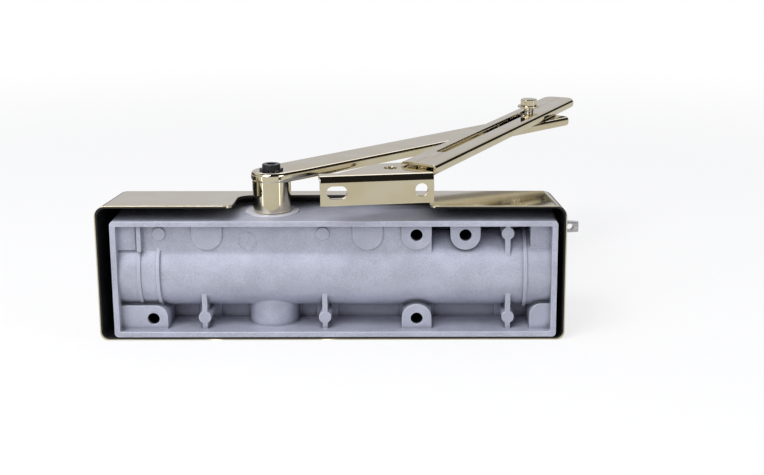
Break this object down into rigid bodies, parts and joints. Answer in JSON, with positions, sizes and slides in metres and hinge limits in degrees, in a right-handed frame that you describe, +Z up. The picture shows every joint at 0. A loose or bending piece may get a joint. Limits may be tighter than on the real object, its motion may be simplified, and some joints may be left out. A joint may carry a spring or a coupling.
{
  "type": "overhead door closer",
  "caption": "Overhead door closer: cast cylinder body in a polished sheet cover, with a jointed arm of main arm, slotted forearm and shoe bracket.",
  "frame": {"origin": "midway between the two lower fixing holes, on the face of their pads", "axes": "x along the body, y from the mounting side to the cover's front, z up"},
  "size_m": [0.2635, 0.2385, 0.0975],
  "materials": {
    "casting_paint": "silver paint on a die casting",
    "cover_brass": "polished pale brass, black inside",
    "arm_brass": "polished pale brass plating on steel",
    "steel": "ground steel",
    "black_steel": "black oxide",
    "zinc": "bright zinc",
    "bronze": "sintered bronze",
    "rubber": "matt",
    "felt": "soft foam"
  },
  "bodies": {
    "closer_body": {"housing": "casting_paint", "cover": "cover_brass", "cover_pads": "felt", "left_end_plug": "steel", "right_end_plug": "steel", "left_plug_ring": "rubber", "right_plug_ring": "rubber", "upper_bearing": "bronze", "lower_bearing": "bronze", "spindle_seal": "rubber", "spindle_collar": "zinc", "lower_spindle_cap": "steel"},
    "drive": {"spindle": "steel", "main_arm": "arm_brass", "lock_washer": "black_steel", "arm_screw": "black_steel"},
    "ram": {"piston": "steel", "piston_seal": "rubber", "check_valve_ball": "steel", "check_valve_plug": "bronze", "main_spring": "black_steel"},
    "valve": {"speed_valve": "zinc", "speed_valve_ring": "rubber"},
    "elbow": {"elbow_pin": "steel", "clamp_washer": "arm_brass", "clamp_screw": "arm_brass"},
    "fore": {"forearm": "arm_brass", "shoe_rivet": "arm_brass"},
    "shoe": {"shoe_bracket": "arm_brass"}
  },
  "joints": [
    {"name": "spindle_turn", "type": "hinge", "parent": "closer_body", "child": "drive", "pos_m": [-0.0068, 0.0165, 0.0232], "axis": [0, 0, -1], "range_deg": [0, 180], "stiffness_Nm_per_rad": 3, "springref_deg": -34.38},
    {"name": "piston_slide", "type": "slide", "parent": "closer_body", "child": "ram", "axis": [1, 0, 0], "range_m": [0, 0.026], "deforming": ["main_spring"]},
    {"name": "valve_turn", "type": "hinge", "parent": "closer_body", "child": "valve", "pos_m": [0.1391, 0.0265, 0.04223], "axis": [1, 0, 0], "range_deg": [-180, 180]},
    {"name": "elbow_turn", "type": "hinge", "parent": "drive", "child": "elbow", "pos_m": [0.1367, 0.16458, 0.0747], "axis": [0, 0, 1], "range_deg": [0, 150]},
    {"name": "forearm_slide", "type": "slide", "parent": "elbow", "child": "fore", "axis": [0.4003, 0.9164, 0], "range_m": [0, 0.07]},
    {"name": "shoe_turn", "type": "hinge", "parent": "fore", "child": "shoe", "pos_m": [0.07182, 0.01384, 0.078], "axis": [0, 0, 1], "range_deg": [-30, 0]}
  ],
  "couplings": [
    {"joint": "piston_slide", "follows": "spindle_turn", "m_per_rad": 0.00825}
  ]
}
